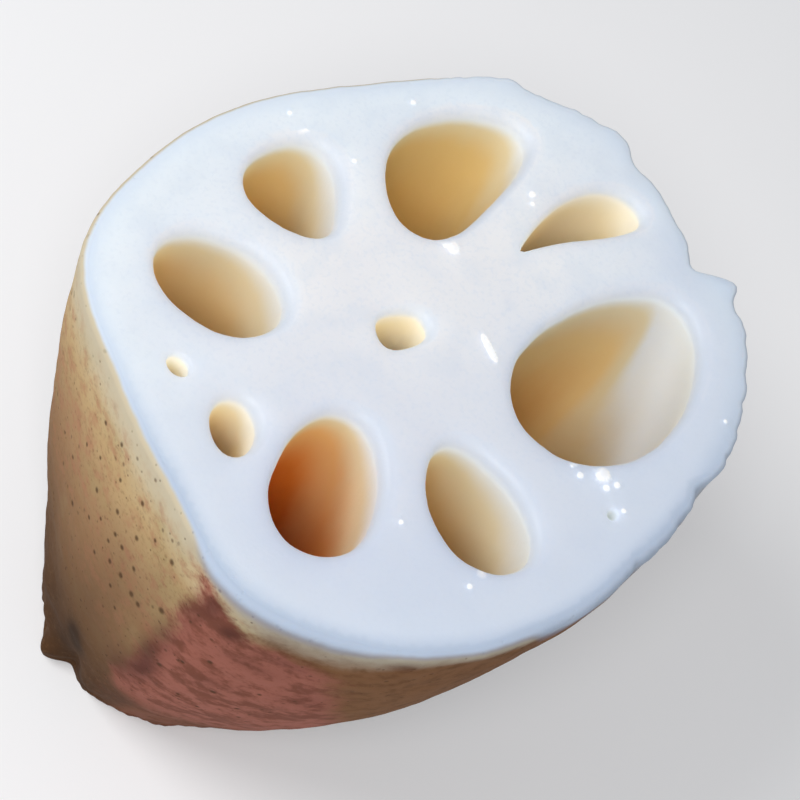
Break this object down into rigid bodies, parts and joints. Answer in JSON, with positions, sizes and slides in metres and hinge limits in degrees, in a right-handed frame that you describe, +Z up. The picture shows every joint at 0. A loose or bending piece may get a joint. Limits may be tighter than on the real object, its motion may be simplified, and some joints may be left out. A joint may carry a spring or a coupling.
{
  "type": "lotus root segment",
  "caption": "Tapering lotus root segment cut across at both ends, with air channels of different sizes opening in its wide flat cut face and thin mottled skin",
  "frame": {"origin": "middle of the outline seen from above, level with the lower cut that the segment stands on", "axes": "+Z up out of the wide cut face, along the air channels; -Y toward the side that the foot leans to"},
  "size_m": [0.0748, 0.0814, 0.078],
  "materials": {
    "flesh": "moist crisp white flesh on both cuts, cream to orange-brown channel walls, thin tan to reddish-brown skin with small dark pores outside"
  },
  "bodies": {
    "root": {"lotus_root_segment": "flesh"}
  },
  "joints": []
}
